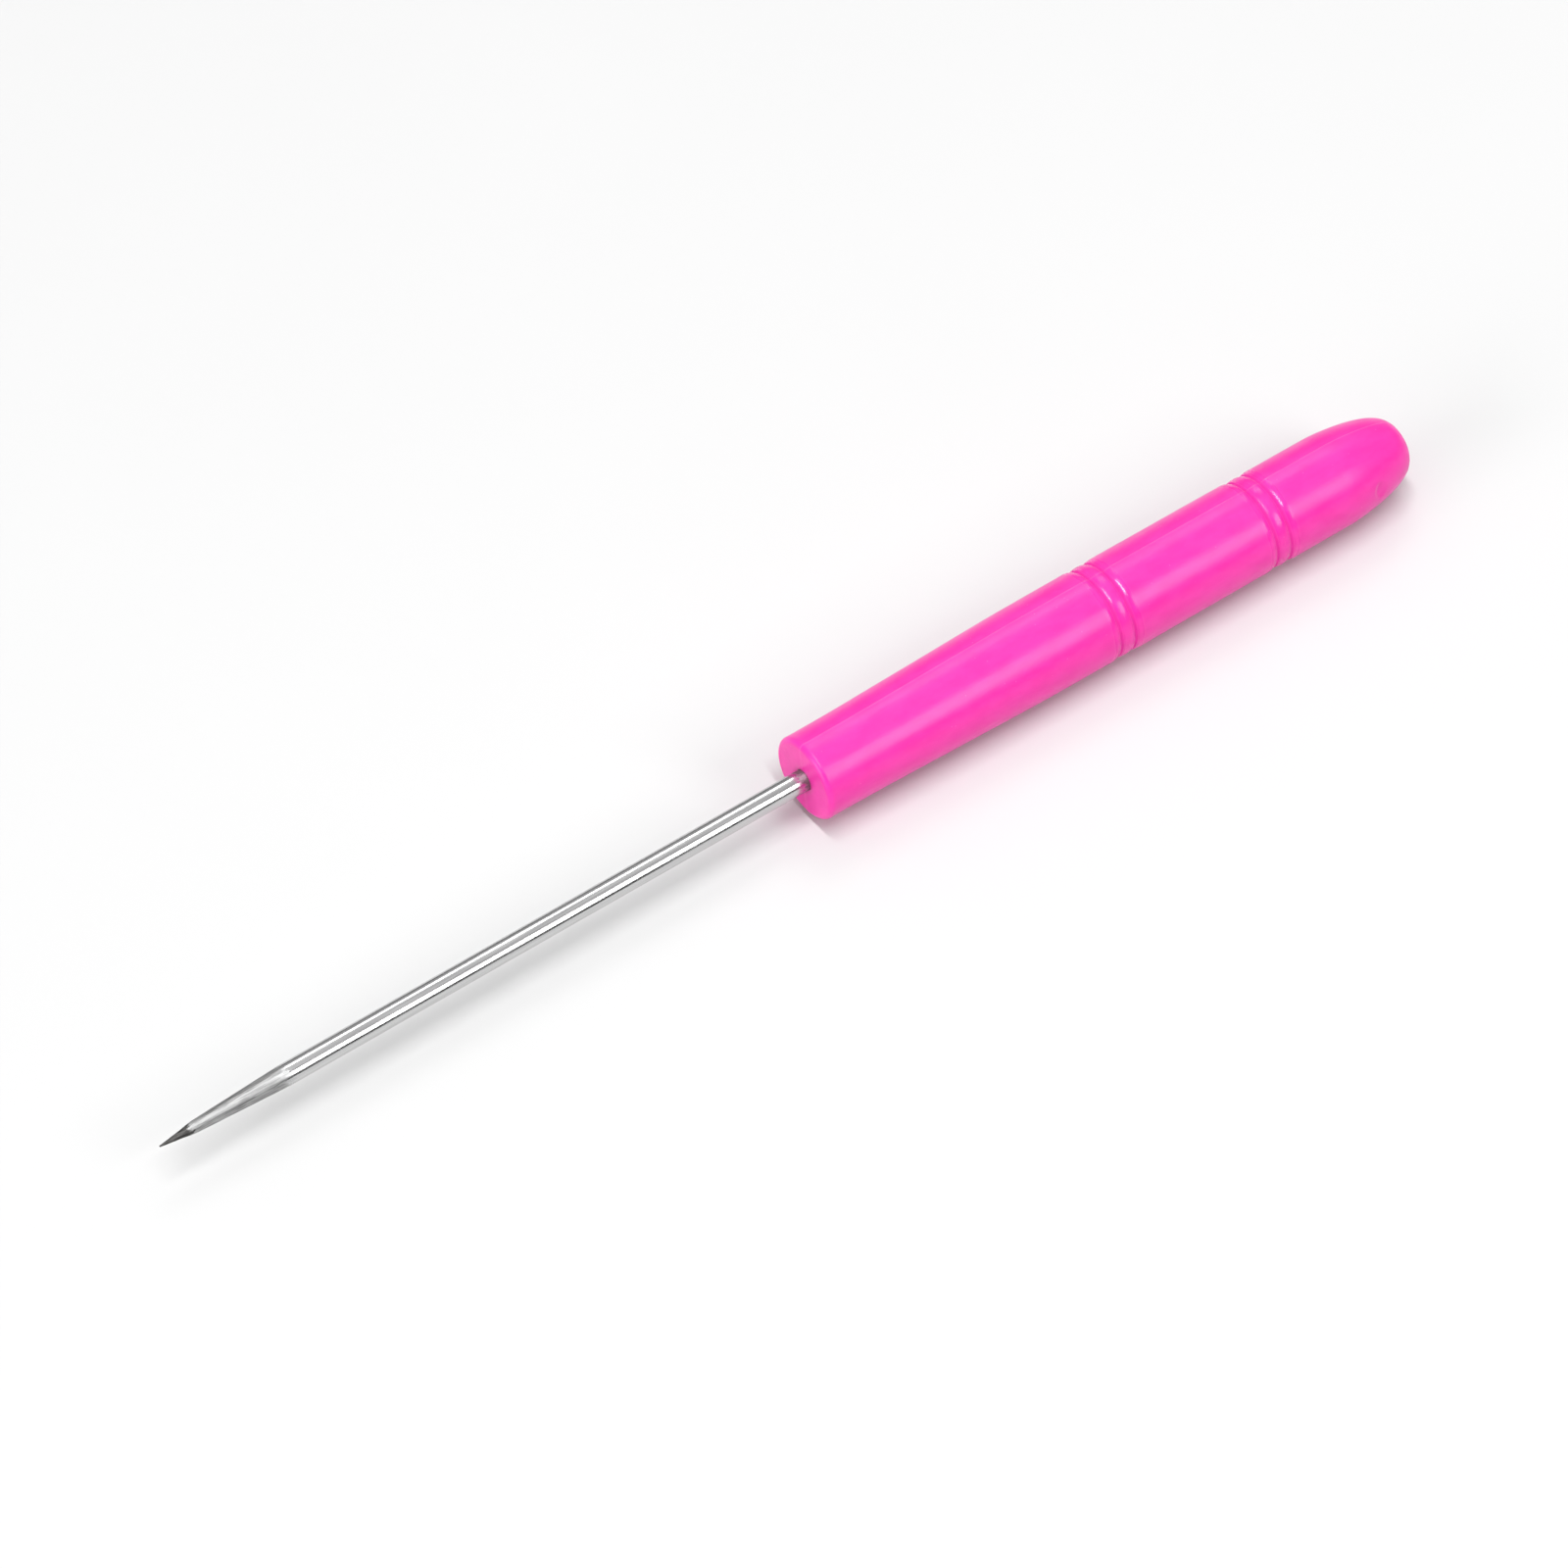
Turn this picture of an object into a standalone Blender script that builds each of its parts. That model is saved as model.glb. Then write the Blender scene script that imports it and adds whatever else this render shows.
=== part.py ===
"""A needle awl: a pointed steel needle held in a moulded plastic handle.

Units are metres and +Z is up. The awl lies along X with its point towards -X. The middle of
its length is at X = 0, and the widest ring of the handle touches Z = 0.

Both pieces are drawn about one axis, the empty "awl_axis", whose local Z runs from the point
to the end of the handle. Its origin is the centre of the handle's front face.
"""
import math

import bmesh
import bpy

# The needle, outside the handle
NEEDLE_DIAMETER = 0.0020
NEEDLE_REACH = 0.0670  # from the handle's front face to the tip
TAPER_LENGTH = 0.0098  # the long ground taper behind the point
POINT_LENGTH = 0.0031
POINT_DIAMETER = 0.00108  # where the point meets the taper
TIP_DIAMETER = 0.00016
TIP_ROUNDING = 0.00005  # length of the blunted end of the tip

# The tang, the needle's hidden end, with a pressed flat that stops it turning or pulling out
TANG_LENGTH = 0.0300  # from the handle's front face to the tang's end
FLAT_WIDTH = 0.0030
FLAT_LENGTH = 0.0040
FLAT_RUNOUT = 0.0020  # from the flat back to round wire, at each end of the flat
FLAT_TO_TANG_END = 0.0060  # from the flat's rear runout to the tang's end
TANG_CLEARANCE = 0.0003  # between the tang and the handle, all round

# The handle
HANDLE_LENGTH = 0.0648
FRONT_DIAMETER = 0.00790
NECK_DIAMETER = 0.00797  # where the nearly straight neck behind the front face ends
SWELL_DIAMETER = 0.00870  # where the long taper behind the neck ends
GRIP_DIAMETER = 0.00876  # at the front pair of grooves
TAIL_DIAMETER = 0.00860  # where the domed end starts
NECK_LENGTH = 0.0055
SWELL_TO_GROOVES = 0.0093  # from the end of the taper to the front pair of grooves
FRONT_EDGE_ROUND = 0.0005
DOME_LENGTH = 0.0078
DOME_SHOULDER_POWER = 1.44  # below 2 lets the dome leave the straight grip gently
DOME_END_POWER = 4.24  # above 2 makes the end blunt

# Each pair of grooves is two valleys with a bead between them. Distances along a pair are from
# its middle, positive towards the dome
GROOVES_TO_END = 0.01575  # from the middle of the rear pair to the end of the handle
GROOVES_APART = 0.01715  # from the middle of the front pair to the middle of the rear pair
PAIR_FRONT = -0.00132  # where the grip begins to round down
FRONT_VALLEY = -0.00070
BEAD_CREST = 0.00024
REAR_VALLEY = 0.00082
PAIR_REAR = 0.00170  # where the grip is full again
CREST_DROP = 0.00003  # the bead's crest stands this much lower than the grip beside it
VALLEY_DROP = 0.00019

# How finely round shapes are drawn
HANDLE_SIDES = 48
NEEDLE_SIDES = 32
DOME_STEPS = 14
GROOVE_STEPS = 4
EDGE_STEPS = 4
RUNOUT_STEPS = 4
WELD = 0.000005  # points of a turned piece closer than this are one point
SHARP_ANGLE = math.radians(35)

# Where things lie along the awl's axis, from the handle's front face
REAR_GROOVES = HANDLE_LENGTH - GROOVES_TO_END
FRONT_GROOVES = REAR_GROOVES - GROOVES_APART
SWELL_END = FRONT_GROOVES - SWELL_TO_GROOVES
DOME_START = HANDLE_LENGTH - DOME_LENGTH

PINK = (1.0, 0.082, 0.509)
STEEL = (0.62, 0.62, 0.62)


def clear_scene():
    """Remove every object, so that the script can be run again."""
    for item in list(bpy.data.objects):
        bpy.data.objects.remove(item, do_unlink=True)


def surface(name, colour, roughness, metallic):
    """A plain material with one colour."""
    material = bpy.data.materials.new(name)
    material.use_nodes = True
    shader = material.node_tree.nodes["Principled BSDF"]
    shader.inputs["Base Color"].default_value = (*colour, 1.0)
    shader.inputs["Roughness"].default_value = roughness
    shader.inputs["Metallic"].default_value = metallic
    return material


def pink_plastic():
    """Moulded polypropylene with a satin shine."""
    return surface("pink_plastic", PINK, 0.38, 0.0)


def drawn_steel():
    """Bright drawn wire."""
    return surface("drawn_steel", STEEL, 0.3, 1.0)


def awl_axis():
    """The line that both pieces share, lying along X at the height of the widest ring's radius."""
    height = max(radius for radius, along in handle_outline())
    axis = bpy.data.objects.new("awl_axis", None)
    axis.location = ((NEEDLE_REACH - HANDLE_LENGTH) / 2, 0.0, height)
    axis.rotation_euler = (0.0, math.radians(90), 0.0)
    bpy.context.scene.collection.objects.link(axis)
    return axis


def add_piece(name, bm, axis):
    """Turn a bmesh into an object on the awl's axis."""
    mesh = bpy.data.meshes.new(name)
    bm.to_mesh(mesh)
    bm.free()
    piece = bpy.data.objects.new(name, mesh)
    piece.parent = axis
    bpy.context.scene.collection.objects.link(piece)
    return piece


def blend(start, end, share):
    """A value between start and end, as a straight run."""
    return start + (end - start) * share


def grip_radius(along):
    """Radius of the handle without its grooves: straight runs, widest at the front grooves."""
    stations = (
        (0.0, FRONT_DIAMETER / 2),
        (NECK_LENGTH, NECK_DIAMETER / 2),
        (SWELL_END, SWELL_DIAMETER / 2),
        (FRONT_GROOVES, GRIP_DIAMETER / 2),
        (DOME_START, TAIL_DIAMETER / 2),
    )
    for (low, low_radius), (high, high_radius) in zip(stations, stations[1:]):
        if along <= high:
            return blend(low_radius, high_radius, (along - low) / (high - low))
    return stations[-1][1]


def groove_drop(from_middle):
    """How far a pair of grooves cuts in, at a distance from the middle of the pair."""
    ahead = from_middle < BEAD_CREST
    valley = FRONT_VALLEY if ahead else REAR_VALLEY
    edge = PAIR_FRONT if ahead else PAIR_REAR
    from_crest = (from_middle - BEAD_CREST) / (valley - BEAD_CREST)
    if from_crest < 1:
        return CREST_DROP + (VALLEY_DROP - CREST_DROP) * from_crest ** 2
    return VALLEY_DROP * max(0.0, (from_middle - edge) / (valley - edge)) ** 2


def groove_outline(middle):
    """Outline of one pair of grooves, from its rear shoulder down to its front shoulder."""
    stations = (PAIR_REAR, REAR_VALLEY, BEAD_CREST, FRONT_VALLEY, PAIR_FRONT)
    offsets = [
        blend(high, low, step / GROOVE_STEPS)
        for high, low in zip(stations, stations[1:])
        for step in range(GROOVE_STEPS)
    ]
    offsets.append(PAIR_FRONT)
    return [(grip_radius(middle + offset) - groove_drop(offset), middle + offset) for offset in offsets]


def dome_outline():
    """Outline of the domed end, from its pole down to the straight grip."""
    points = []
    for step in range(DOME_STEPS):
        turn = math.pi / 2 * (1 - step / DOME_STEPS)
        reach = math.sin(turn) ** (2 / DOME_SHOULDER_POWER)
        spread = max(0.0, math.cos(turn)) ** (2 / DOME_END_POWER)
        if step == 0:
            spread = 0.0
        points.append((TAIL_DIAMETER / 2 * spread, DOME_START + DOME_LENGTH * reach))
    points.append((TAIL_DIAMETER / 2, DOME_START))
    return points


def front_edge_outline():
    """Outline of the rounded front edge, ending on the flat front face, then the face's centre."""
    centre = grip_radius(FRONT_EDGE_ROUND) - FRONT_EDGE_ROUND
    points = []
    for step in range(EDGE_STEPS + 1):
        turn = math.pi / 2 * step / EDGE_STEPS
        radius = centre + FRONT_EDGE_ROUND * math.cos(turn)
        points.append((radius, FRONT_EDGE_ROUND * (1 - math.sin(turn))))
    points.append((0.0, 0.0))
    return points


def handle_outline():
    """Half of the handle's outline, from the domed end down to the centre of the front face."""
    points = dome_outline()
    points += groove_outline(REAR_GROOVES)
    points += groove_outline(FRONT_GROOVES)
    points.append((grip_radius(SWELL_END), SWELL_END))
    points.append((grip_radius(NECK_LENGTH), NECK_LENGTH))
    points += front_edge_outline()
    return points


def turned(name, outline, axis):
    """A solid turned about the awl's axis from a half outline that runs from top to bottom."""
    bm = bmesh.new()
    verts = [bm.verts.new((radius, 0.0, along)) for radius, along in outline]
    for above, below in zip(verts, verts[1:]):
        bm.edges.new((above, below))
    piece = add_piece(name, bm, axis)
    screw = piece.modifiers.new("turn", "SCREW")
    screw.angle = math.radians(360)
    screw.steps = HANDLE_SIDES
    screw.render_steps = HANDLE_SIDES
    screw.use_merge_vertices = True
    screw.merge_threshold = WELD
    screw.use_smooth_shade = True
    return piece


def oval_ring(bm, along, half_width, half_thickness):
    """One ring of points across the wire, wide along local Y and thin along local X."""
    ring = []
    for side in range(NEEDLE_SIDES):
        turn = 2 * math.pi * side / NEEDLE_SIDES
        ring.append(bm.verts.new((half_thickness * math.cos(turn), half_width * math.sin(turn), along)))
    return ring


def wire_solid(name, sections, axis):
    """A closed solid through rings given as (along, half width, half thickness), in rising order."""
    bm = bmesh.new()
    rings = [oval_ring(bm, *section) for section in sections]
    for lower, upper in zip(rings, rings[1:]):
        for side in range(NEEDLE_SIDES):
            after = (side + 1) % NEEDLE_SIDES
            bm.faces.new((lower[side], lower[after], upper[after], upper[side]))
    bm.faces.new(reversed(rings[0]))
    bm.faces.new(rings[-1])
    for face in bm.faces:
        face.smooth = True
    piece = add_piece(name, bm, axis)
    piece.data.set_sharp_from_angle(angle=SHARP_ANGLE)
    return piece


def blade_sections():
    """The needle outside the handle: blunted tip, point, long taper and round wire."""
    tip = -NEEDLE_REACH
    profile = (
        (tip, TIP_DIAMETER / 4),
        (tip + TIP_ROUNDING, TIP_DIAMETER / 2),
        (tip + POINT_LENGTH, POINT_DIAMETER / 2),
        (tip + POINT_LENGTH + TAPER_LENGTH, NEEDLE_DIAMETER / 2),
    )
    return [(along, radius, radius) for along, radius in profile]


def tang_sections(clearance):
    """The wire inside the handle, with its pressed flat, made larger all round by a clearance."""
    round_half = NEEDLE_DIAMETER / 2
    flat_half_width = FLAT_WIDTH / 2
    flat_half_thickness = round_half ** 2 / flat_half_width
    flat_end = TANG_LENGTH - FLAT_TO_TANG_END - FLAT_RUNOUT
    flat_start = flat_end - FLAT_LENGTH
    sections = []
    for step in range(RUNOUT_STEPS + 1):
        share = step / RUNOUT_STEPS
        ease = (1 - math.cos(math.pi * share)) / 2
        half_width = blend(round_half, flat_half_width, ease) + clearance
        half_thickness = blend(round_half, flat_half_thickness, ease) + clearance
        sections.append((flat_start - FLAT_RUNOUT * (1 - share), half_width, half_thickness))
    sections += [(flat_start + flat_end - along, wide, thin) for along, wide, thin in reversed(sections)]
    sections.append((TANG_LENGTH + clearance, round_half + clearance, round_half + clearance))
    return sections


def make_needle(axis):
    """The steel needle in one piece, from its tip to the end of its tang."""
    needle = wire_solid("needle", blade_sections() + tang_sections(0.0), axis)
    needle.data.materials.append(drawn_steel())


def make_handle(axis):
    """The plastic handle, with the space that the tang fills."""
    space_radius = NEEDLE_DIAMETER / 2 + TANG_CLEARANCE
    mouth = (-TANG_CLEARANCE, space_radius, space_radius)
    space = wire_solid("tang_space", [mouth] + tang_sections(TANG_CLEARANCE), axis)
    space.hide_render = True
    space.display_type = "WIRE"
    handle = turned("handle", handle_outline(), axis)
    cut = handle.modifiers.new("tang_space", "BOOLEAN")
    cut.operation = "DIFFERENCE"
    cut.object = space
    handle.data.materials.append(pink_plastic())


def main():
    """Build the awl."""
    clear_scene()
    axis = awl_axis()
    make_needle(axis)
    make_handle(axis)


main()
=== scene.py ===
# %% [markdown]
# # A needle awl
# This awl has two pieces: a steel needle and a plastic handle that was moulded round its hidden
# end. A simple awl stands ready in the frame, with the right size and place. Each step below
# makes one of the two pieces again with the detail of the real one, and hangs it on the frame.

# %% Load the frame
import math

import bpy
import numpy as np
from mathutils import Matrix, Vector, noise


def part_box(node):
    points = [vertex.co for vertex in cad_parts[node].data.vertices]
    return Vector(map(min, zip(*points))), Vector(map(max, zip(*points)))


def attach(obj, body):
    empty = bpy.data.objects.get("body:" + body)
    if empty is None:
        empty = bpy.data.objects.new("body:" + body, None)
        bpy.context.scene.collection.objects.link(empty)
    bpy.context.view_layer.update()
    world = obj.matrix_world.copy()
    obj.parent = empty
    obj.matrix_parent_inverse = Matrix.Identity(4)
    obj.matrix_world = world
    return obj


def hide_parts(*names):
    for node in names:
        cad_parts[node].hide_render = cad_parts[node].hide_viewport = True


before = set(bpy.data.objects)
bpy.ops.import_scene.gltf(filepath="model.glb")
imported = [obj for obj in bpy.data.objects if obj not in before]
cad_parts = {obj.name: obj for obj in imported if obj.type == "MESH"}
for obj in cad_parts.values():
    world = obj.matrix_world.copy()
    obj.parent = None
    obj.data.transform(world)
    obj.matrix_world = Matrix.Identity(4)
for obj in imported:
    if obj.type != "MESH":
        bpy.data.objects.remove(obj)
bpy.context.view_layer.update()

# %% [markdown]
# ## Where things lie
# The awl lies along X with its point towards -X. Everything is measured from the handle's front
# face along the awl's own axis, so one function turns (distance along, radius, angle) into a
# place. The angle is 0 straight up and grows towards -Y.

# %% Read the awl's places from the frame
MM = 0.001
HANDLE_LOW, HANDLE_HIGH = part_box("handle")
NEEDLE_LOW, NEEDLE_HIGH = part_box("needle")
FRONT_X = HANDLE_LOW.x
AXIS_Z = (HANDLE_LOW.z + HANDLE_HIGH.z) / 2
HANDLE_LENGTH = HANDLE_HIGH.x - HANDLE_LOW.x
NEEDLE_REACH = HANDLE_LOW.x - NEEDLE_LOW.x
TANG_LENGTH = NEEDLE_HIGH.x - HANDLE_LOW.x
print(f"handle {HANDLE_LENGTH / MM:.1f} mm, needle {NEEDLE_REACH / MM:.1f} mm out of it")


def places(along, radius, angle):
    """Points of the frame at a distance along the awl's axis, a radius and an angle."""
    along, radius, angle = np.broadcast_arrays(along, radius, angle)
    return np.stack([FRONT_X + along, -radius * np.sin(angle), AXIS_Z + radius * np.cos(angle)], -1)


# %% [markdown]
# ## Closed skins from rings
# Both pieces are turned shapes with small marks on them. A Screw modifier turns an outline but
# leaves no room for marks that sit on one side only, so here each ring of points is worked out
# in full and neighbouring rings are joined. `spaced` puts rings and points closer together where
# there is detail, which keeps the mesh light everywhere else.

# %% Helpers for skins
def spaced(low, high, count, busy):
    """Values from low to high, closer near each busy place, given as (middle, reach, times)."""
    fine = np.linspace(low, high, 6001)
    density = np.ones_like(fine)
    for middle, reach, times in busy:
        density += times * np.exp(-(((fine - middle) / reach) ** 2))
    total = np.concatenate([[0.0], np.cumsum(density[1:] + density[:-1])])
    return np.interp(np.linspace(0.0, total[-1], count), total, fine)


def skin(name, rings, material):
    """A closed mesh through rings of points, with the middle of each end ring as its pole."""
    count, sides = rings.shape[:2]
    poles = rings[[0, -1]].mean(axis=1)
    points = np.concatenate([rings.reshape(-1, 3), poles])
    ring, side = np.meshgrid(np.arange(count - 1) * sides, np.arange(sides), indexing="ij")
    after = (side + 1) % sides
    quads = np.stack([ring + side, ring + after, ring + sides + after, ring + sides + side], -1)
    quads = quads.reshape(-1, 4)
    around = np.arange(sides)
    onward = (around + 1) % sides
    first, last = count * sides, count * sides + 1
    start = [(first, b, a) for a, b in zip(around.tolist(), onward.tolist())]
    base = (count - 1) * sides
    finish = [(last, base + a, base + b) for a, b in zip(around.tolist(), onward.tolist())]
    mesh = bpy.data.meshes.new(name)
    mesh.from_pydata(points.tolist(), [], quads.tolist() + start + finish)
    mesh.polygons.foreach_set("use_smooth", np.ones(len(mesh.polygons), dtype=bool))
    mesh.update()
    piece = bpy.data.objects.new(name, mesh)
    piece.data.materials.append(material)
    bpy.context.scene.collection.objects.link(piece)
    print(name, len(mesh.polygons), "faces")
    return piece


# %% [markdown]
# ## Materials
# A colour is written as it looks on a screen, in sRGB hex, and Blender's nodes want linear
# light, so `linear` converts it. `add` puts one node in a tree, sets what is given and links the
# rest. Every pattern reads object coordinates in metres, so `stretched_noise` takes the real size
# of its features along X, Y and Z.

# %% Helpers for materials
def linear(hex_colour):
    """A linear colour with alpha from an sRGB hex value such as FF4FB4."""
    channels = [int(hex_colour[i:i + 2], 16) / 255 for i in (0, 2, 4)]
    return tuple(c / 12.92 if c <= 0.04045 else ((c + 0.055) / 1.055) ** 2.4 for c in channels) + (1.0,)


def add(tree, kind, links=None, sockets=None, **settings):
    """Add one node, set its settings and socket values, and link the sockets named in links."""
    node = tree.nodes.new(kind)
    for setting, value in settings.items():
        setattr(node, setting, value)
    for socket, value in (sockets or {}).items():
        node.inputs[socket].default_value = value
    for socket, source in (links or {}).items():
        tree.links.new(source, node.inputs[socket])
    return node


def empty_material(name):
    """A material with nothing in it but its output."""
    material = bpy.data.materials.new(name)
    material.use_nodes = True
    material.node_tree.nodes.clear()
    return material, material.node_tree


def stretched_noise(tree, coordinates, size, detail=2.0, seed=0.0):
    """Noise with features of a given size in metres along X, Y and Z, from 0 to 1."""
    shrink = add(
        tree, "ShaderNodeMapping", {"Vector": coordinates},
        {"Location": (seed, seed, seed), "Scale": tuple(1 / length for length in size)},
    )
    pattern = add(
        tree, "ShaderNodeTexNoise", {"Vector": shrink.outputs["Vector"]},
        {"Scale": 1.0, "Detail": detail, "Roughness": 0.55},
    )
    return pattern.outputs["Fac"]


def ramp(tree, value, low, high, out_low=0.0, out_high=1.0):
    """A value remapped from one range to another, held at both ends, with a soft step."""
    node = add(
        tree, "ShaderNodeMapRange", {"Value": value},
        {"From Min": low, "From Max": high, "To Min": out_low, "To Max": out_high},
        interpolation_type="SMOOTHSTEP",
    )
    return node.outputs["Result"]


def mixed(tree, share, first, second):
    """A colour between two others, each a hex value or a node's output."""
    node = tree.nodes.new("ShaderNodeMix")
    node.data_type = "RGBA"
    tree.links.new(share, node.inputs["Factor"])
    colour_sockets = [socket for socket in node.inputs if socket.type == "RGBA"]
    for socket, colour in zip(colour_sockets, (first, second)):
        if isinstance(colour, str):
            socket.default_value = linear(colour)
        else:
            tree.links.new(colour, socket)
    return [socket for socket in node.outputs if socket.type == "RGBA"][0]


# %% [markdown]
# ## Bright steel wire, drawn and ground
# The needle starts as carbon steel wire pulled through a die, which leaves fine lines along it.
# Its front is then ground to a long taper with short, patchy marks, and the point is ground
# again, fast and dry. The point is darker and rougher: its darker colour is a painted reflection
# of dark surroundings. One material covers the three finishes: the distance from the tip says
# which one shows, with a ragged border where one cut runs into the next. The draw lines on real
# wire are a few hundredths of a millimetre apart; they are drawn twice as coarse here, so that
# they show. Next to the handle the wire is painted darker grey, painted shade where it meets the
# handle, and it is rougher there.

# %% Drawn and ground steel
POINT_LENGTH = 3.1 * MM
TAPER_LENGTH = 9.8 * MM
BORDER_JITTER = 0.6 * MM
POINT_BORDER = 0.25 * MM
TAPER_BORDER_BEFORE = 1.5 * MM
TAPER_BORDER_AFTER = 0.5 * MM
# Reach of the painted shade on the wire next to the handle.
HANDLE_SHADE_START = 0.9 * MM
HANDLE_SHADE_FULL = 0.1 * MM
DRAW_LINE_DEPTH = 0.006 * MM


def drawn_and_ground_steel():
    """Bright drawn wire, a ground taper, a point painted dark as a reflection, and painted shade by the
    handle.
    """
    material, tree = empty_material("drawn_and_ground_steel")
    place = add(tree, "ShaderNodeTexCoord").outputs["Object"]
    lines = stretched_noise(tree, place, (9 * MM, 0.07 * MM, 0.07 * MM), 2.0, 2.9)
    patches = stretched_noise(tree, place, (2.4 * MM, 0.15 * MM, 0.15 * MM), 3.0, 7.7)
    ragged = stretched_noise(tree, place, (0.8 * MM, 0.35 * MM, 0.35 * MM), 2.0, 4.1)
    along = add(tree, "ShaderNodeSeparateXYZ", {0: place}).outputs["X"]
    jitter = ramp(tree, ragged, 0.2, 0.8, -BORDER_JITTER, BORDER_JITTER)
    along = add(tree, "ShaderNodeMath", {0: along, 1: jitter}, operation="ADD").outputs["Value"]
    point_end = NEEDLE_LOW.x + POINT_LENGTH
    point = ramp(tree, along, point_end - POINT_BORDER, point_end + POINT_BORDER, 1.0, 0.0)
    taper_end = point_end + TAPER_LENGTH
    ground = ramp(
        tree, along, taper_end - TAPER_BORDER_BEFORE, taper_end + TAPER_BORDER_AFTER, 1.0, 0.0
    )
    wire = mixed(tree, ramp(tree, lines, 0.3, 0.7), "BEBEBF", "D0D0D0")
    cut = mixed(tree, ramp(tree, patches, 0.35, 0.65), "868686", "B2B2B2")
    # Painted reflection: the point is painted dark grey for the dark surroundings it reflects.
    dark_point_reflection = mixed(tree, ramp(tree, patches, 0.3, 0.7), "2E2D2C", "5A5958")
    colour = mixed(tree, ground, wire, cut)
    colour = mixed(tree, point, colour, dark_point_reflection)
    # Painted shade: the wire next to the handle is painted darker grey, and it is made rougher too.
    handle_shade_and_dull = ramp(tree, along, FRONT_X - HANDLE_SHADE_START, FRONT_X - HANDLE_SHADE_FULL)
    colour = mixed(tree, handle_shade_and_dull, colour, "8C8888")
    wire_rough = ramp(tree, lines, 0.3, 0.7, 0.16, 0.24)
    cut_rough = ramp(tree, patches, 0.3, 0.7, 0.42, 0.58)
    rough = add(
        tree, "ShaderNodeMix", {"Factor": ground, 2: wire_rough, 3: cut_rough}, data_type="FLOAT"
    ).outputs[0]
    rough = add(
        tree, "ShaderNodeMix", {"Factor": handle_shade_and_dull, 2: rough}, {3: 0.6}, data_type="FLOAT"
    ).outputs[0]
    marks = add(
        tree, "ShaderNodeMix", {"Factor": ground, 2: lines, 3: patches}, data_type="FLOAT"
    ).outputs[0]
    bump = add(
        tree, "ShaderNodeBump", {"Height": marks}, {"Strength": 0.3, "Distance": DRAW_LINE_DEPTH}
    ).outputs["Normal"]
    shader = add(
        tree, "ShaderNodeBsdfPrincipled",
        {"Base Color": colour, "Roughness": rough, "Normal": bump}, {"Metallic": 1.0},
    )
    add(tree, "ShaderNodeOutputMaterial", {"Surface": shader.outputs["BSDF"]})
    return material


STEEL = drawn_and_ground_steel()
print(STEEL.name, len(STEEL.node_tree.nodes), "nodes")

# %% [markdown]
# ## The needle
# The needle is one piece of 2 mm wire. From its tip it has a blunted end, a short point with
# four uneven ground faces, a long taper, the round wire, and inside the handle a flat pressed
# into it, which stops it turning. The rings get closer together at the point, where the shape
# changes fastest.

# %% Needle sizes
WIRE_RADIUS = 1.0 * MM
POINT_RADIUS = 0.54 * MM
TIP_RADIUS = 0.08 * MM
TANG_FLAT_HALF_WIDTH = 1.5 * MM
TANG_FLAT_HALF_THICKNESS = WIRE_RADIUS ** 2 / TANG_FLAT_HALF_WIDTH
TANG_FLAT_END = TANG_LENGTH - 8 * MM
TANG_FLAT_START = TANG_FLAT_END - 4 * MM
TANG_RUNOUT = 2 * MM
FACE_SHARE = 0.55


def wire_radius(from_tip):
    """Radius of the needle at a distance from its tip, before the point's faces are ground."""
    taper_end = POINT_LENGTH + TAPER_LENGTH
    radius = np.interp(
        from_tip, (0.0, POINT_LENGTH, taper_end), (TIP_RADIUS, POINT_RADIUS, WIRE_RADIUS)
    )
    blunt = np.clip(from_tip / (1.2 * TIP_RADIUS), 0.0, 1.0)
    return radius * np.sqrt(1 - (1 - blunt) ** 2)


def ground_faces(from_tip, angle):
    """How much of the radius is left where four uneven faces are ground on the point."""
    fade = np.clip((POINT_LENGTH * 1.15 - from_tip) / (0.5 * POINT_LENGTH), 0.0, 1.0)
    twist = 0.35 + 0.1 * np.sin(from_tip / (0.9 * MM))
    corner = (angle + twist) % (math.pi / 2) - math.pi / 4
    square = math.cos(math.pi / 4) / np.cos(corner)
    return 1 - FACE_SHARE * fade * (1 - square / square.max())


def flatness(along):
    """0 on round wire, 1 on the tang's pressed flat, eased over the runouts."""
    into = np.minimum(along - TANG_FLAT_START, TANG_FLAT_END - along)
    share = np.clip(1 + into / TANG_RUNOUT, 0.0, 1.0)
    return (1 - np.cos(math.pi * share)) / 2


def tang_places(along, angle, round_radius, room=0.0):
    """Rings of the wire, pressed to an oval where it is flat, with some room all round."""
    share = flatness(along)
    half_width = round_radius + (TANG_FLAT_HALF_WIDTH - WIRE_RADIUS) * share + room
    half_thickness = round_radius + (TANG_FLAT_HALF_THICKNESS - WIRE_RADIUS) * share + room
    y = -half_width * np.sin(angle)
    z = AXIS_Z + half_thickness * np.cos(angle)
    x = np.broadcast_to(FRONT_X + along, y.shape)
    return np.stack([x, y, z], -1)


# %% Make the needle
NEEDLE_SIDES = 96
NEEDLE_RINGS = 330
FIRST_RING = 0.002 * MM


def ground_needle():
    """The whole needle, from its tip to the end of its tang."""
    busy = [
        (0.0, 0.35 * MM, 60),
        (POINT_LENGTH, 1.5 * MM, 6),
        (NEEDLE_REACH + TANG_FLAT_START, 6 * MM, 2),
    ]
    from_tip = spaced(FIRST_RING, NEEDLE_REACH + TANG_LENGTH, NEEDLE_RINGS, busy)[:, None]
    angle = np.linspace(0, 2 * math.pi, NEEDLE_SIDES, endpoint=False)[None, :]
    radius = wire_radius(from_tip) * ground_faces(from_tip, angle)
    return skin("ground_needle", tang_places(from_tip - NEEDLE_REACH, angle, radius), STEEL)


needle = ground_needle()
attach(needle, "root")
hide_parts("needle")

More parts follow.
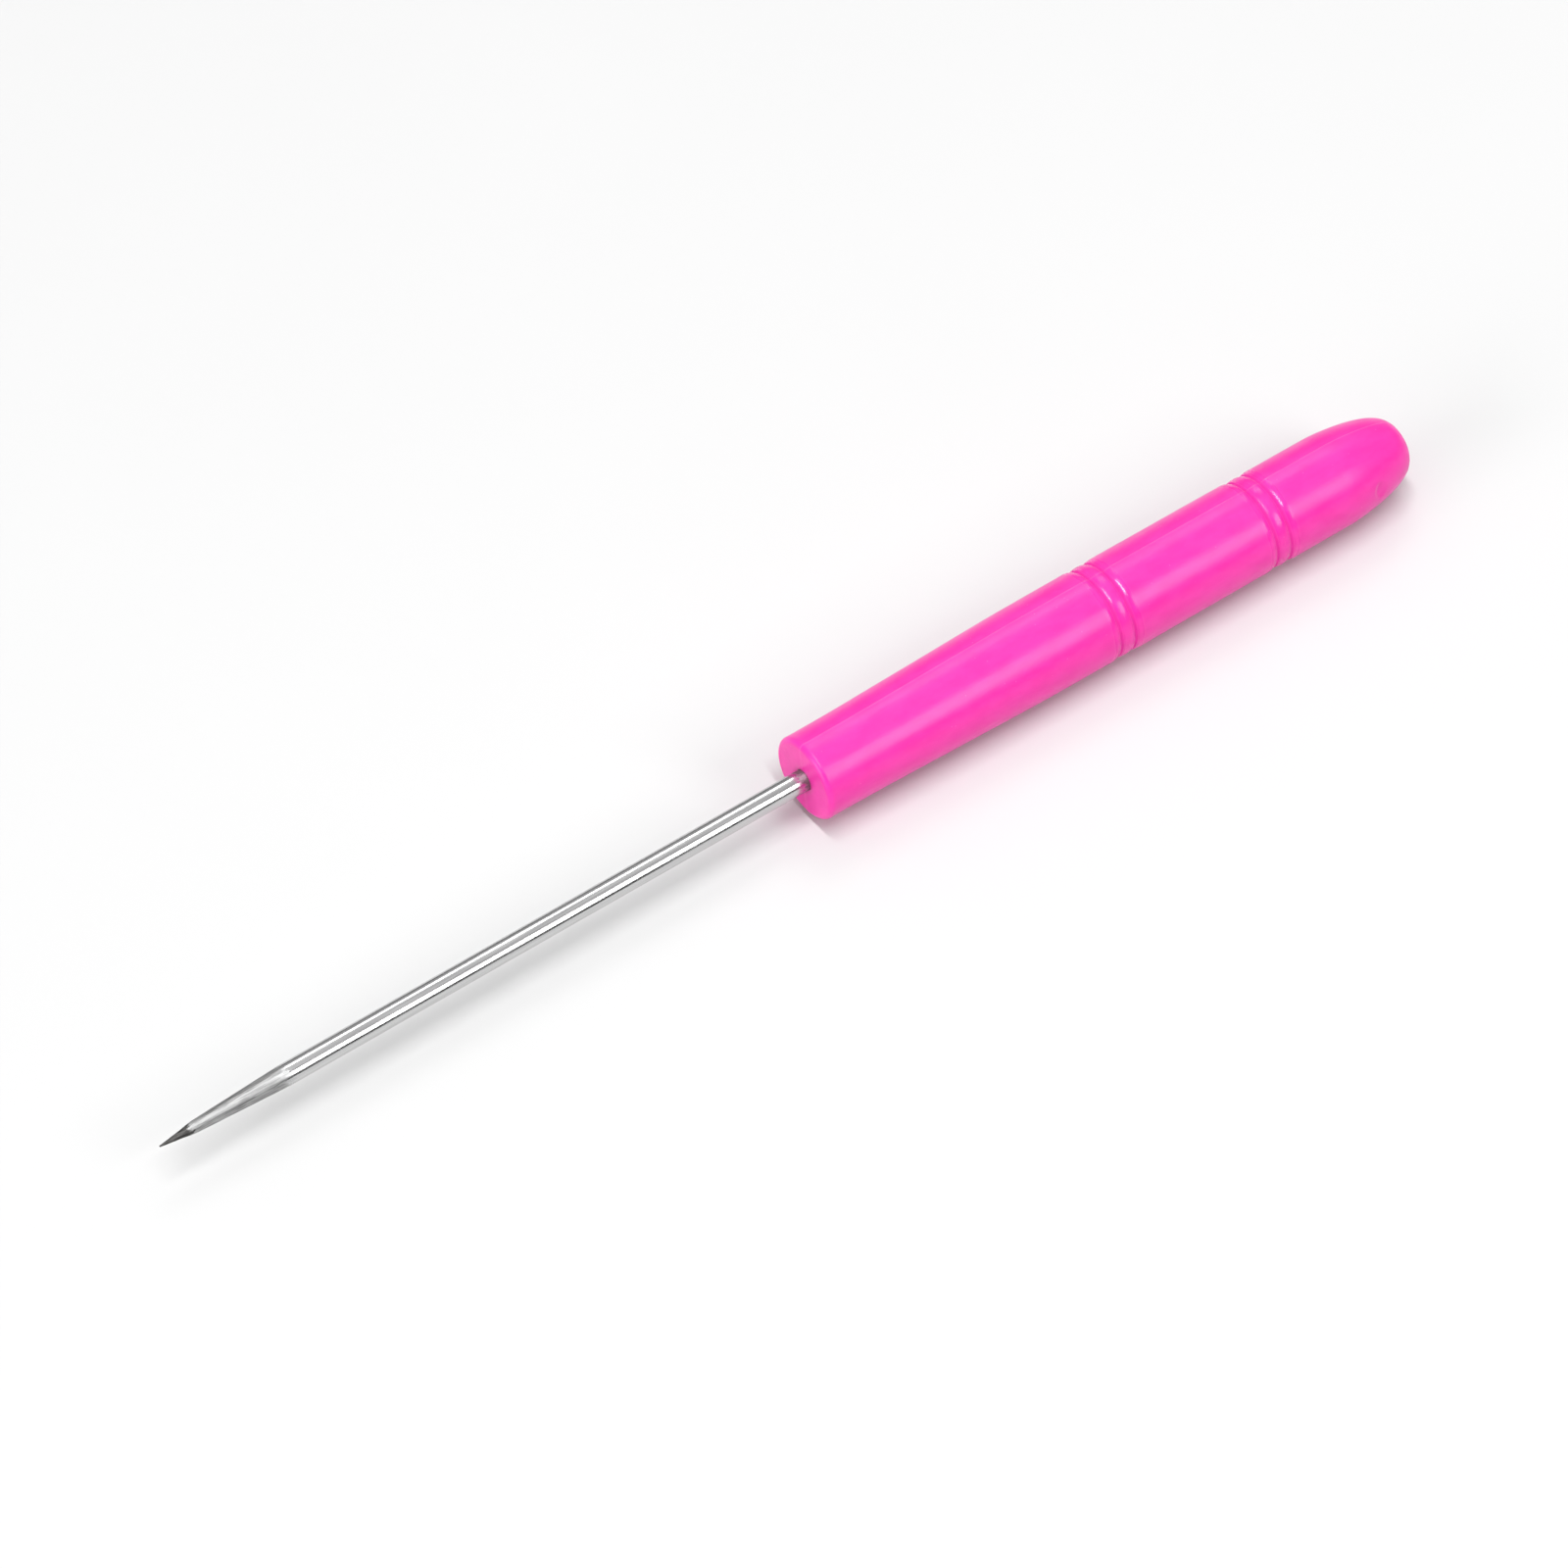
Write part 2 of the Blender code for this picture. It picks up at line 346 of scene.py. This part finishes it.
# %% [markdown]
# ## The handle's outline
# The handle is turned from one outline. Behind the flat front face it has a short, almost
# straight neck, swells slowly to the front pair of grooves, and thins a little to the domed
# end. `grip_radius` takes the mean of a straight-run outline over a few millimetres, which
# rounds its corners. The dome is a superellipse: it leaves the grip gently and ends blunt. A pair
# of grooves is two sharp valleys with a low round bead between them; the outer side of each
# valley rises in a curve and meets the grip without an edge.

# %% Handle sizes
STATIONS = np.array([0.0, 5.5, 22.6, 31.9, 57.0, 65.0]) * MM
STATION_RADII = np.array([3.95, 3.985, 4.35, 4.38, 4.30, 4.285]) * MM
CORNER_ROUND = np.linspace(-1.5, 1.5, 7) * MM
DOME_LENGTH = 7.8 * MM
DOME_SHOULDER_POWER = 1.44
DOME_END_POWER = 4.24
FRONT_EDGE_ROUND = 0.5 * MM
TIGHT_GAP = 0.006 * MM
CRATER_RADIUS = 1.6 * MM
CRATER_DEPTH = 0.05 * MM
GROOVE_PLACES = (HANDLE_LENGTH - 32.9 * MM, HANDLE_LENGTH - 15.75 * MM)
PAIR_START = -1.32 * MM
FRONT_VALLEY = -0.70 * MM
CREST_PLACE = 0.24 * MM
REAR_VALLEY = 0.82 * MM
PAIR_END = 1.70 * MM
CREST_DROP = 0.03 * MM
VALLEY_DROP = 0.19 * MM
VALLEY_ROUND = 0.025 * MM
print("grooves", [round(middle / MM, 2) for middle in GROOVE_PLACES], "mm behind the front face")


def grip_radius(along):
    """Radius of the handle without grooves, dome or front edge."""
    nearby = np.asarray(along)[..., None] + CORNER_ROUND
    return np.interp(nearby, STATIONS, STATION_RADII).mean(axis=-1)


def pair_drop(from_middle):
    """How far a pair of grooves cuts in, at a distance from the middle of the pair."""
    valley = np.where(from_middle < CREST_PLACE, FRONT_VALLEY, REAR_VALLEY)
    far_edge = np.where(from_middle < CREST_PLACE, PAIR_START, PAIR_END)
    from_crest = np.clip((from_middle - CREST_PLACE) / (valley - CREST_PLACE), 0.0, 1.0)
    from_edge = np.clip((from_middle - far_edge) / (valley - far_edge), 0.0, 1.0)
    bead = CREST_DROP + (VALLEY_DROP - CREST_DROP) * from_crest ** 2
    shoulder = VALLEY_DROP * from_edge ** 2
    return np.where(from_crest < 1, bead, shoulder)


def groove_drop(along):
    """Both pairs of grooves, with their corners rounded by a short running mean."""
    nearby = np.asarray(along)[..., None] + np.linspace(-1, 1, 7) * VALLEY_ROUND
    return sum(pair_drop(nearby - middle) for middle in GROOVE_PLACES).mean(axis=-1)


# %% Rings along the handle
def dome_rings(count):
    """The domed end, from its pole to the straight grip."""
    turn = np.linspace(math.pi / 2, 0.0, count, endpoint=False)[1:]
    reach = np.sin(turn) ** (2 / DOME_SHOULDER_POWER)
    spread = np.cos(turn) ** (2 / DOME_END_POWER)
    along = HANDLE_LENGTH - DOME_LENGTH * (1 - reach)
    return along, grip_radius(along) * spread


def grip_rings(count):
    """The grip with its grooves, from the dome down to the front edge."""
    busy = [(middle, 1.3 * MM, 9) for middle in GROOVE_PLACES] + [(0.0, 1.0 * MM, 4)]
    along = spaced(FRONT_EDGE_ROUND, HANDLE_LENGTH - DOME_LENGTH, count, busy)[::-1]
    return along, grip_radius(along) - groove_drop(along)


def front_rings(count):
    """The rounded front edge."""
    turn = np.linspace(0, math.pi / 2, count)[1:]
    radius = grip_radius(FRONT_EDGE_ROUND) - FRONT_EDGE_ROUND * (1 - np.cos(turn))
    return FRONT_EDGE_ROUND * (1 - np.sin(turn)), radius


def face_rings(count):
    """The flat front face, with a shallow dimple round the needle."""
    start = grip_radius(FRONT_EDGE_ROUND) - FRONT_EDGE_ROUND
    radius = start + (WIRE_RADIUS + TIGHT_GAP - start) * np.linspace(0, 1, count)[1:]
    sunk = np.clip((CRATER_RADIUS - radius) / (CRATER_RADIUS - WIRE_RADIUS), 0.0, 1.0)
    return CRATER_DEPTH * sunk ** 1.6, radius


# %% [markdown]
# ## Marks of the mould
# What makes a moulded handle look real is what the mould left on it. The two halves met along
# a line, where a fine ridge of flash stands, and one half sits about a hundredth of a millimetre
# proud of the other. A pin pushed the handle out and left a flat disc on the side of the dome.
# The rim of the front face has a thin lip, and the plastic shrank unevenly, so that the surface
# wanders by a few thousandths of a millimetre. Each mark is a small height added to the outline,
# but the pin's disc, which only presses the surface in.

# %% Mark sizes
MOULD_TURN = math.radians(-8.6)
MEAN_RADIUS = 4.3 * MM
FLASH_HEIGHT = 0.022 * MM
FLASH_SIGMA = 0.055 * MM
FLASH_PATCH = 1.6 * MM
HALF_STEP = 0.014 * MM
WANDER = 0.006 * MM
WANDER_PATCH = 3.5 * MM
LIP_HEIGHT = 0.03 * MM
LIP_WIDTH = 0.45 * MM
LIP_PATCH = 0.7 * MM
PIN_ALONG = HANDLE_LENGTH - 4.3 * MM
PIN_RADIUS = 1.3 * MM
PIN_EDGE = 0.25 * MM
PIN_FLOOR = 3.91 * MM
PIN_ANGLE = MOULD_TURN + math.pi / 2
print(f"parting line {math.degrees(MOULD_TURN):.1f} degrees from the top")


# %% Shapes of the marks
def uneven(along, angle, size, seed):
    """Smooth noise from -1 to 1 on the handle's surface, with features of a given size."""
    reach = MEAN_RADIUS / size
    values = np.empty(np.broadcast(along, angle).shape)
    pairs = np.broadcast(along / size, np.cos(angle) * reach, np.sin(angle) * reach)
    for index, (a, b, c) in enumerate(pairs):
        values.flat[index] = noise.noise((a + seed, b, c))
    return values


def mould_marks(along, radius, angle):
    """Height of the parting line's flash, the step beside it and the slow wander of the skin."""
    height = WANDER * uneven(along, angle, WANDER_PATCH, 11.0)
    for side in (0, 1):
        off = (angle - MOULD_TURN - side * math.pi + math.pi) % (2 * math.pi) - math.pi
        across = off * radius
        strength = 0.65 + 0.5 * uneven(along, side * 3.0, FLASH_PATCH, 31.0 + side)
        height += FLASH_HEIGHT * np.clip(strength, 0.15, 1.2) * np.exp(-((across / FLASH_SIGMA) ** 2))
        height += (HALF_STEP if side == 0 else -HALF_STEP) / 2 * np.tanh(across / FLASH_SIGMA)
    return height


def front_lip(along, angle):
    """A thin, slightly ragged lip round the front rim."""
    ragged = 0.8 + 0.3 * uneven(0 * along, angle, LIP_PATCH, 3.0)
    return LIP_HEIGHT * ragged * np.exp(-(((along - FRONT_EDGE_ROUND) / LIP_WIDTH) ** 2))


def press_pin(points):
    """Flatten the disc that the ejector pin left on the dome."""
    outward = np.array([0.0, -math.sin(PIN_ANGLE), math.cos(PIN_ANGLE)])
    sideways = np.array([0.0, math.cos(PIN_ANGLE), math.sin(PIN_ANGLE)])
    middle = np.array([FRONT_X + PIN_ALONG, 0.0, AXIS_Z])
    offset = points - middle
    depth = offset @ outward
    spread = np.hypot(offset[..., 0], offset @ sideways)
    share = np.clip((PIN_RADIUS - spread) / PIN_EDGE, 0.0, 1.0) * (depth > 0)
    pressed = np.minimum(PIN_FLOOR - depth, 0.0)
    return points + (pressed * share)[..., None] * outward


# %% [markdown]
# ## Pink polypropylene, injection moulded
# The handle is polypropylene, a soft plastic that takes its skin from the mould. It is slightly
# milky, so light goes half a millimetre or so into it and comes out redder, and it has a satin
# shine and not a hard gloss. Slow, faint bands run with the flow of the plastic, among small pale
# specks, and long, fine scuffs from use lie over them. The flash along the parting line is paler,
# because it was stretched when the mould opened. The bottoms of the grooves are dull and painted
# a deeper pink, painted shade in the creases; their flanks are the shiniest part. The plastic
# next to the needle is painted darker, painted shade round the needle's entry.

# %% Places where the plastic differs
FLASH_WIDTH = 0.16 * MM
FACE_DEPTH = 0.5 * MM


def from_parting_plane(tree, coordinates):
    """Distance from the plane where the two halves of the mould met."""
    across = (0.0, math.cos(MOULD_TURN), math.sin(MOULD_TURN))
    dot = add(tree, "ShaderNodeVectorMath", {0: coordinates}, {1: across}, operation="DOT_PRODUCT")
    centred = add(
        tree, "ShaderNodeMath", {0: dot.outputs["Value"]}, {1: AXIS_Z * across[2]}, operation="SUBTRACT"
    )
    size = add(tree, "ShaderNodeMath", {0: centred.outputs["Value"]}, operation="ABSOLUTE")
    return size.outputs["Value"]


def needle_shade_share(tree, coordinates):
    """A share of painted shade on the front face, highest where the plastic meets the needle."""
    off_axis = add(
        tree, "ShaderNodeMapping", {"Vector": coordinates},
        {"Location": (0.0, 0.0, -AXIS_Z), "Scale": (0.0, 1.0, 1.0)},
    ).outputs["Vector"]
    radius = add(tree, "ShaderNodeVectorMath", {0: off_axis}, operation="LENGTH").outputs["Value"]
    along = add(tree, "ShaderNodeSeparateXYZ", {0: coordinates}).outputs["X"]
    beside = ramp(tree, radius, WIRE_RADIUS, CRATER_RADIUS, 0.3, 0.0)
    front = ramp(tree, along, FRONT_X + FACE_DEPTH, FRONT_X + 2 * FACE_DEPTH, 1.0, 0.0)
    return add(tree, "ShaderNodeMath", {0: beside, 1: front}, operation="MULTIPLY").outputs["Value"]


def from_valley(tree, coordinates):
    """Distance along the handle from the nearest groove's bottom."""
    along = add(tree, "ShaderNodeSeparateXYZ", {0: coordinates}).outputs["X"]
    bottoms = [FRONT_X + middle + FRONT_VALLEY for middle in GROOVE_PLACES]
    bottoms += [FRONT_X + middle + REAR_VALLEY for middle in GROOVE_PLACES]
    nearest = None
    for bottom in bottoms:
        off = add(tree, "ShaderNodeMath", {0: along}, {1: bottom}, operation="SUBTRACT").outputs["Value"]
        size = add(tree, "ShaderNodeMath", {0: off}, operation="ABSOLUTE").outputs["Value"]
        if nearest is not None:
            size = add(tree, "ShaderNodeMath", {0: nearest, 1: size}, operation="MINIMUM").outputs["Value"]
        nearest = size
    return nearest


# %% Moulded polypropylene
VALLEY_SHADE_REACH = 0.4 * MM
VALLEY_DULL_REACH = 0.34 * MM
FLANK_POLISH_REACH = 0.9 * MM
PEEL_DEPTH = 0.006 * MM
SCUFF_DEPTH = 0.003 * MM


def moulded_polypropylene():
    """Satin pink polypropylene with flow bands, specks, scuffs and a pale parting line."""
    material, tree = empty_material("moulded_polypropylene")
    place = add(tree, "ShaderNodeTexCoord").outputs["Object"]
    clouds = stretched_noise(tree, place, (2.2 * MM, 1.1 * MM, 1.1 * MM), 3.0, 1.7)
    bands = stretched_noise(tree, place, (14 * MM, 0.8 * MM, 0.8 * MM), 2.0, 5.3)
    peel = stretched_noise(tree, place, (0.45 * MM, 0.35 * MM, 0.35 * MM), 2.0, 9.1)
    scuffs = stretched_noise(tree, place, (7 * MM, 0.14 * MM, 0.14 * MM), 3.0, 12.4)
    specks = add(
        tree, "ShaderNodeTexVoronoi", {"Vector": place}, {"Scale": 900.0, "Randomness": 1.0}
    ).outputs["Distance"]
    off_line = from_parting_plane(tree, place)
    off_valley = from_valley(tree, place)

    colour = mixed(tree, ramp(tree, clouds, 0.35, 0.65), "EA2DA2", "EE35A7")
    layers = (
        (ramp(tree, bands, 0.45, 0.75, 0.0, 0.15), "F543B0"),
        (ramp(tree, off_line, 0.2 * FLASH_WIDTH, FLASH_WIDTH, 0.12, 0.0), "FF8CD2"),
        (ramp(tree, specks, 0.02, 0.09, 0.22, 0.0), "FF8AD0"),
        # painted shade: darker pink round the needle's entry
        (needle_shade_share(tree, place), "B8206F"),
        # painted shade: deeper pink in the groove bottoms
        (ramp(tree, off_valley, 0.0, VALLEY_SHADE_REACH, 0.55, 0.0), "E01894"),
        (ramp(tree, scuffs, 0.55, 0.8, 0.0, 0.35), "E4309C"),
    )
    for share, shade in layers:
        colour = mixed(tree, share, colour, shade)

    rough = ramp(tree, bands, 0.3, 0.7, 0.29, 0.33)
    polish = ramp(tree, off_valley, 0.5 * MM, FLANK_POLISH_REACH, 0.55, 1.0)
    rough = add(tree, "ShaderNodeMath", {0: rough, 1: polish}, operation="MULTIPLY").outputs["Value"]
    dull = ramp(tree, off_valley, 0.08 * MM, VALLEY_DULL_REACH, 0.85, 0.0)
    rough = add(tree, "ShaderNodeMath", {0: rough, 1: dull}, operation="MAXIMUM").outputs["Value"]
    bump = add(
        tree, "ShaderNodeBump", {"Height": peel}, {"Strength": 1.0, "Distance": PEEL_DEPTH}
    ).outputs["Normal"]
    bump = add(
        tree, "ShaderNodeBump", {"Height": scuffs, "Normal": bump},
        {"Strength": 1.0, "Distance": SCUFF_DEPTH},
    ).outputs["Normal"]
    shader = add(
        tree, "ShaderNodeBsdfPrincipled",
        {"Base Color": colour, "Roughness": rough, "Normal": bump},
        {"IOR": 1.49, "Specular IOR Level": 0.36, "Subsurface Weight": 0.25, "Subsurface Scale": 0.5 * MM,
         "Subsurface Radius": (1.0, 0.35, 0.7)},
    )
    add(tree, "ShaderNodeOutputMaterial", {"Surface": shader.outputs["BSDF"]})
    return material


PLASTIC = moulded_polypropylene()
print(PLASTIC.name, len(PLASTIC.node_tree.nodes), "nodes")

# %% [markdown]
# ## The handle, ring by ring
# The rings run from the dome's pole along the grip, round the front edge, over the face and back
# into the bore, so the handle is one closed skin. Points crowd together at the two parting lines,
# where the flash is narrow, and at the pin's disc.

# %% Make the handle
HANDLE_SIDES = 240
DOME_RINGS = 70
GRIP_RINGS = 220
FRONT_RINGS = 10
FACE_RINGS = 30
BORE_RINGS = 24
BORE_START = CRATER_DEPTH + 0.05 * MM
MARKS_FADE = 1.0 * MM
PARTING_BUSY = 0.05
PIN_BUSY = 0.38


def moulded_handle():
    """The handle: dome, grip, front edge, face, and the bore that holds the tang."""
    angle = spaced(
        MOULD_TURN - math.pi / 2, MOULD_TURN + 1.5 * math.pi, HANDLE_SIDES + 1,
        [
            (MOULD_TURN, PARTING_BUSY, 12),
            (MOULD_TURN + math.pi, PARTING_BUSY, 12),
            (PIN_ANGLE, PIN_BUSY, 1.2),
        ],
    )[None, :-1]
    outer = [dome_rings(DOME_RINGS), grip_rings(GRIP_RINGS), front_rings(FRONT_RINGS)]
    along = np.concatenate([part[0] for part in outer])[:, None]
    radius = np.concatenate([part[1] for part in outer])[:, None]
    height = mould_marks(along, radius, angle) + front_lip(along, angle)
    fade = np.clip((HANDLE_LENGTH - along) / MARKS_FADE, 0.0, 1.0)
    shell = press_pin(places(along, radius + height * fade, angle))
    face_along, face_radius = (values[:, None] for values in face_rings(FACE_RINGS))
    face = places(face_along, face_radius, angle)
    bore_along = np.linspace(BORE_START, TANG_LENGTH + TIGHT_GAP, BORE_RINGS)[:, None]
    bore = tang_places(bore_along, angle, WIRE_RADIUS, TIGHT_GAP)
    return skin("moulded_handle", np.concatenate([shell, face, bore]), PLASTIC)


handle = moulded_handle()
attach(handle, "root")
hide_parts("handle")

# %% [markdown]
# ## The floor
# A plain, almost white sheet lies under the awl. It is a matt board, wide enough that its edges
# stay out of every view, and it takes a faint soft shadow.

# %% Floor
FLOOR_HALF_WIDTH = 6.0
MOTTLE_SIZE = 40 * MM


def white_board():
    """Matt white board with a faint mottle."""
    material, tree = empty_material("white_board")
    place = add(tree, "ShaderNodeTexCoord").outputs["Object"]
    mottle = stretched_noise(tree, place, (MOTTLE_SIZE,) * 3, 2.0, 0.4)
    colour = mixed(tree, mottle, "D5D5D5", "D7D7D7")
    shader = add(
        tree, "ShaderNodeBsdfPrincipled", {"Base Color": colour},
        {"Roughness": 0.9, "Specular IOR Level": 0.1},
    )
    add(tree, "ShaderNodeOutputMaterial", {"Surface": shader.outputs["BSDF"]})
    return material


floor_mesh = bpy.data.meshes.new("floor")
signs = ((-1, -1), (1, -1), (1, 1), (-1, 1))
corners = [(x * FLOOR_HALF_WIDTH, y * FLOOR_HALF_WIDTH, 0.0) for x, y in signs]
floor_mesh.from_pydata(corners, [], [(0, 1, 2, 3)])
floor = bpy.data.objects.new("floor", floor_mesh)
floor.data.materials.append(white_board())
bpy.context.scene.collection.objects.link(floor)
print("floor", 2 * FLOOR_HALF_WIDTH, "m wide")

# %% [markdown]
# ## The camera
# The awl leans out of the picture plane, point nearer, so that the front face shows. The lens
# is long, which keeps the handle's sides almost parallel. It looks at the awl's axis just in
# front of the handle. The azimuth and elevation follow from two angles: how far the awl leans
# out of the picture plane, and how steeply it rises to the right in the picture.

# %% Camera
AWL_OUT_OF_PLANE = math.radians(22.0)
AWL_SLOPE = math.radians(29.646)
CAMERA_DISTANCE = 1.037
CAMERA_LENS = 277.47
LOOK_ALONG = -1.73 * MM
LOOK_ABOVE = 0.52 * MM


def aim(item, place, target):
    """Put a camera or light at a place, looking at a target, with no roll."""
    item.location = place
    item.rotation_euler = (Vector(place) - Vector(target)).to_track_quat("Z", "Y").to_euler()


across = math.cos(AWL_OUT_OF_PLANE) * math.cos(AWL_SLOPE)
upward = math.cos(AWL_OUT_OF_PLANE) * math.sin(AWL_SLOPE)
azimuth = -math.acos(across)
elevation = math.asin(upward / -math.sin(azimuth))
backward = Vector((
    math.cos(elevation) * math.sin(azimuth),
    -math.cos(elevation) * math.cos(azimuth),
    math.sin(elevation),
))
upper_side = Vector((1.0, 0.0, 0.0)).cross(backward).normalized() * -1.0
target = Vector((FRONT_X + LOOK_ALONG, 0.0, AXIS_Z)) + LOOK_ABOVE * upper_side
camera_data = bpy.data.cameras.new("camera")
camera_data.lens = CAMERA_LENS
camera_data.sensor_width = 36.0
camera = bpy.data.objects.new("camera", camera_data)
aim(camera, target + CAMERA_DISTANCE * backward, target)
bpy.context.scene.collection.objects.link(camera)
bpy.context.scene.camera = camera
print(f"camera azimuth {math.degrees(azimuth):.1f}, elevation {math.degrees(elevation):.1f}")

# %% [markdown]
# ## The light
# Long soft boxes lie along the awl, so that each one draws a streak from end to end: one in
# front for the streak down the middle, one behind for the upper edge. The gap between them stays
# darker, which gives the steel its stripes. A narrow, very bright box overhead draws the two thin
# streaks in each pair of grooves, where the surface turns towards it. A dim box beyond the point
# lights the front face. The room itself is lighter overhead and dimmed at the front.

# %% Lights
BOX_DISTANCE = 0.9
BOX_SHIFT = 0.03
BOX_LENGTH = 0.36
TOWARDS_CAMERA = Vector((0.0, backward.y, backward.z)).normalized()
MIRRORED_X = BOX_DISTANCE * -backward.x / math.hypot(backward.y, backward.z)


def soft_box(name, away, offset, length, width, radiance):
    """An area light in a direction from the awl, its long side along X, as bright as asked."""
    data = bpy.data.lights.new(name, "AREA")
    data.shape = "RECTANGLE"
    data.size = length
    data.size_y = width
    data.energy = math.pi * length * width * radiance
    box = bpy.data.objects.new(name, data)
    away = away.normalized()
    side = Vector((1.0, 0.0, 0.0))
    side = (side - side.dot(away) * away).normalized()
    box.location = target + BOX_DISTANCE * away + Vector((offset, 0.0, 0.0))
    box.rotation_euler = Matrix((side, away.cross(side), away)).transposed().to_euler()
    bpy.context.scene.collection.objects.link(box)


def strip_box(name, turn, wide, radiance):
    """A long soft box whose streak lies half of turn degrees round from the camera's side."""
    away = TOWARDS_CAMERA.copy()
    away.rotate(Matrix.Rotation(math.radians(turn), 3, "X"))
    width = 2 * BOX_DISTANCE * math.tan(math.radians(wide / 2))
    soft_box(name, away, MIRRORED_X + BOX_SHIFT, BOX_LENGTH, width, radiance)


def room(wall, ceiling, front):
    """A plain room round the awl, lighter towards the ceiling and dimmed at the front."""
    world = bpy.data.worlds.new("studio")
    world.use_nodes = True
    tree = world.node_tree
    tree.nodes.clear()
    way = add(tree, "ShaderNodeTexCoord").outputs["Generated"]
    parts = add(tree, "ShaderNodeSeparateXYZ", {0: way}).outputs
    light = ramp(tree, parts["Z"], 0.0, 0.9, wall, ceiling)
    dim = ramp(tree, parts["Y"], -0.9, 0.0, front, 1.0)
    light = add(tree, "ShaderNodeMath", {0: light, 1: dim}, operation="MULTIPLY").outputs["Value"]
    glow = add(tree, "ShaderNodeBackground", {"Strength": light}, {"Color": linear("FFFFFF")})
    add(tree, "ShaderNodeOutputWorld", {"Surface": glow.outputs["Background"]})
    bpy.context.scene.world = world


OVERHEAD = Vector((-0.05, -0.16, 0.98))
BEYOND_THE_POINT = Vector((-1.0, -0.1, 0.3))
strip_box("front_box", turn=18.0, wide=28.0, radiance=6.8)
strip_box("back_box", turn=-66.0, wide=18.0, radiance=3.6)
soft_box("top_box", OVERHEAD, offset=0.0, length=0.07, width=0.62, radiance=38.0)
soft_box("face_box", BEYOND_THE_POINT, offset=0.0, length=0.4, width=0.6, radiance=6.3)
room(wall=0.2, ceiling=0.68, front=0.25)
for box in bpy.data.lights:
    print(box.name, f"{box.size:.2f} x {box.size_y:.2f} m, {box.energy:.2f} W")
bpy.context.scene.view_settings.view_transform = "Standard"
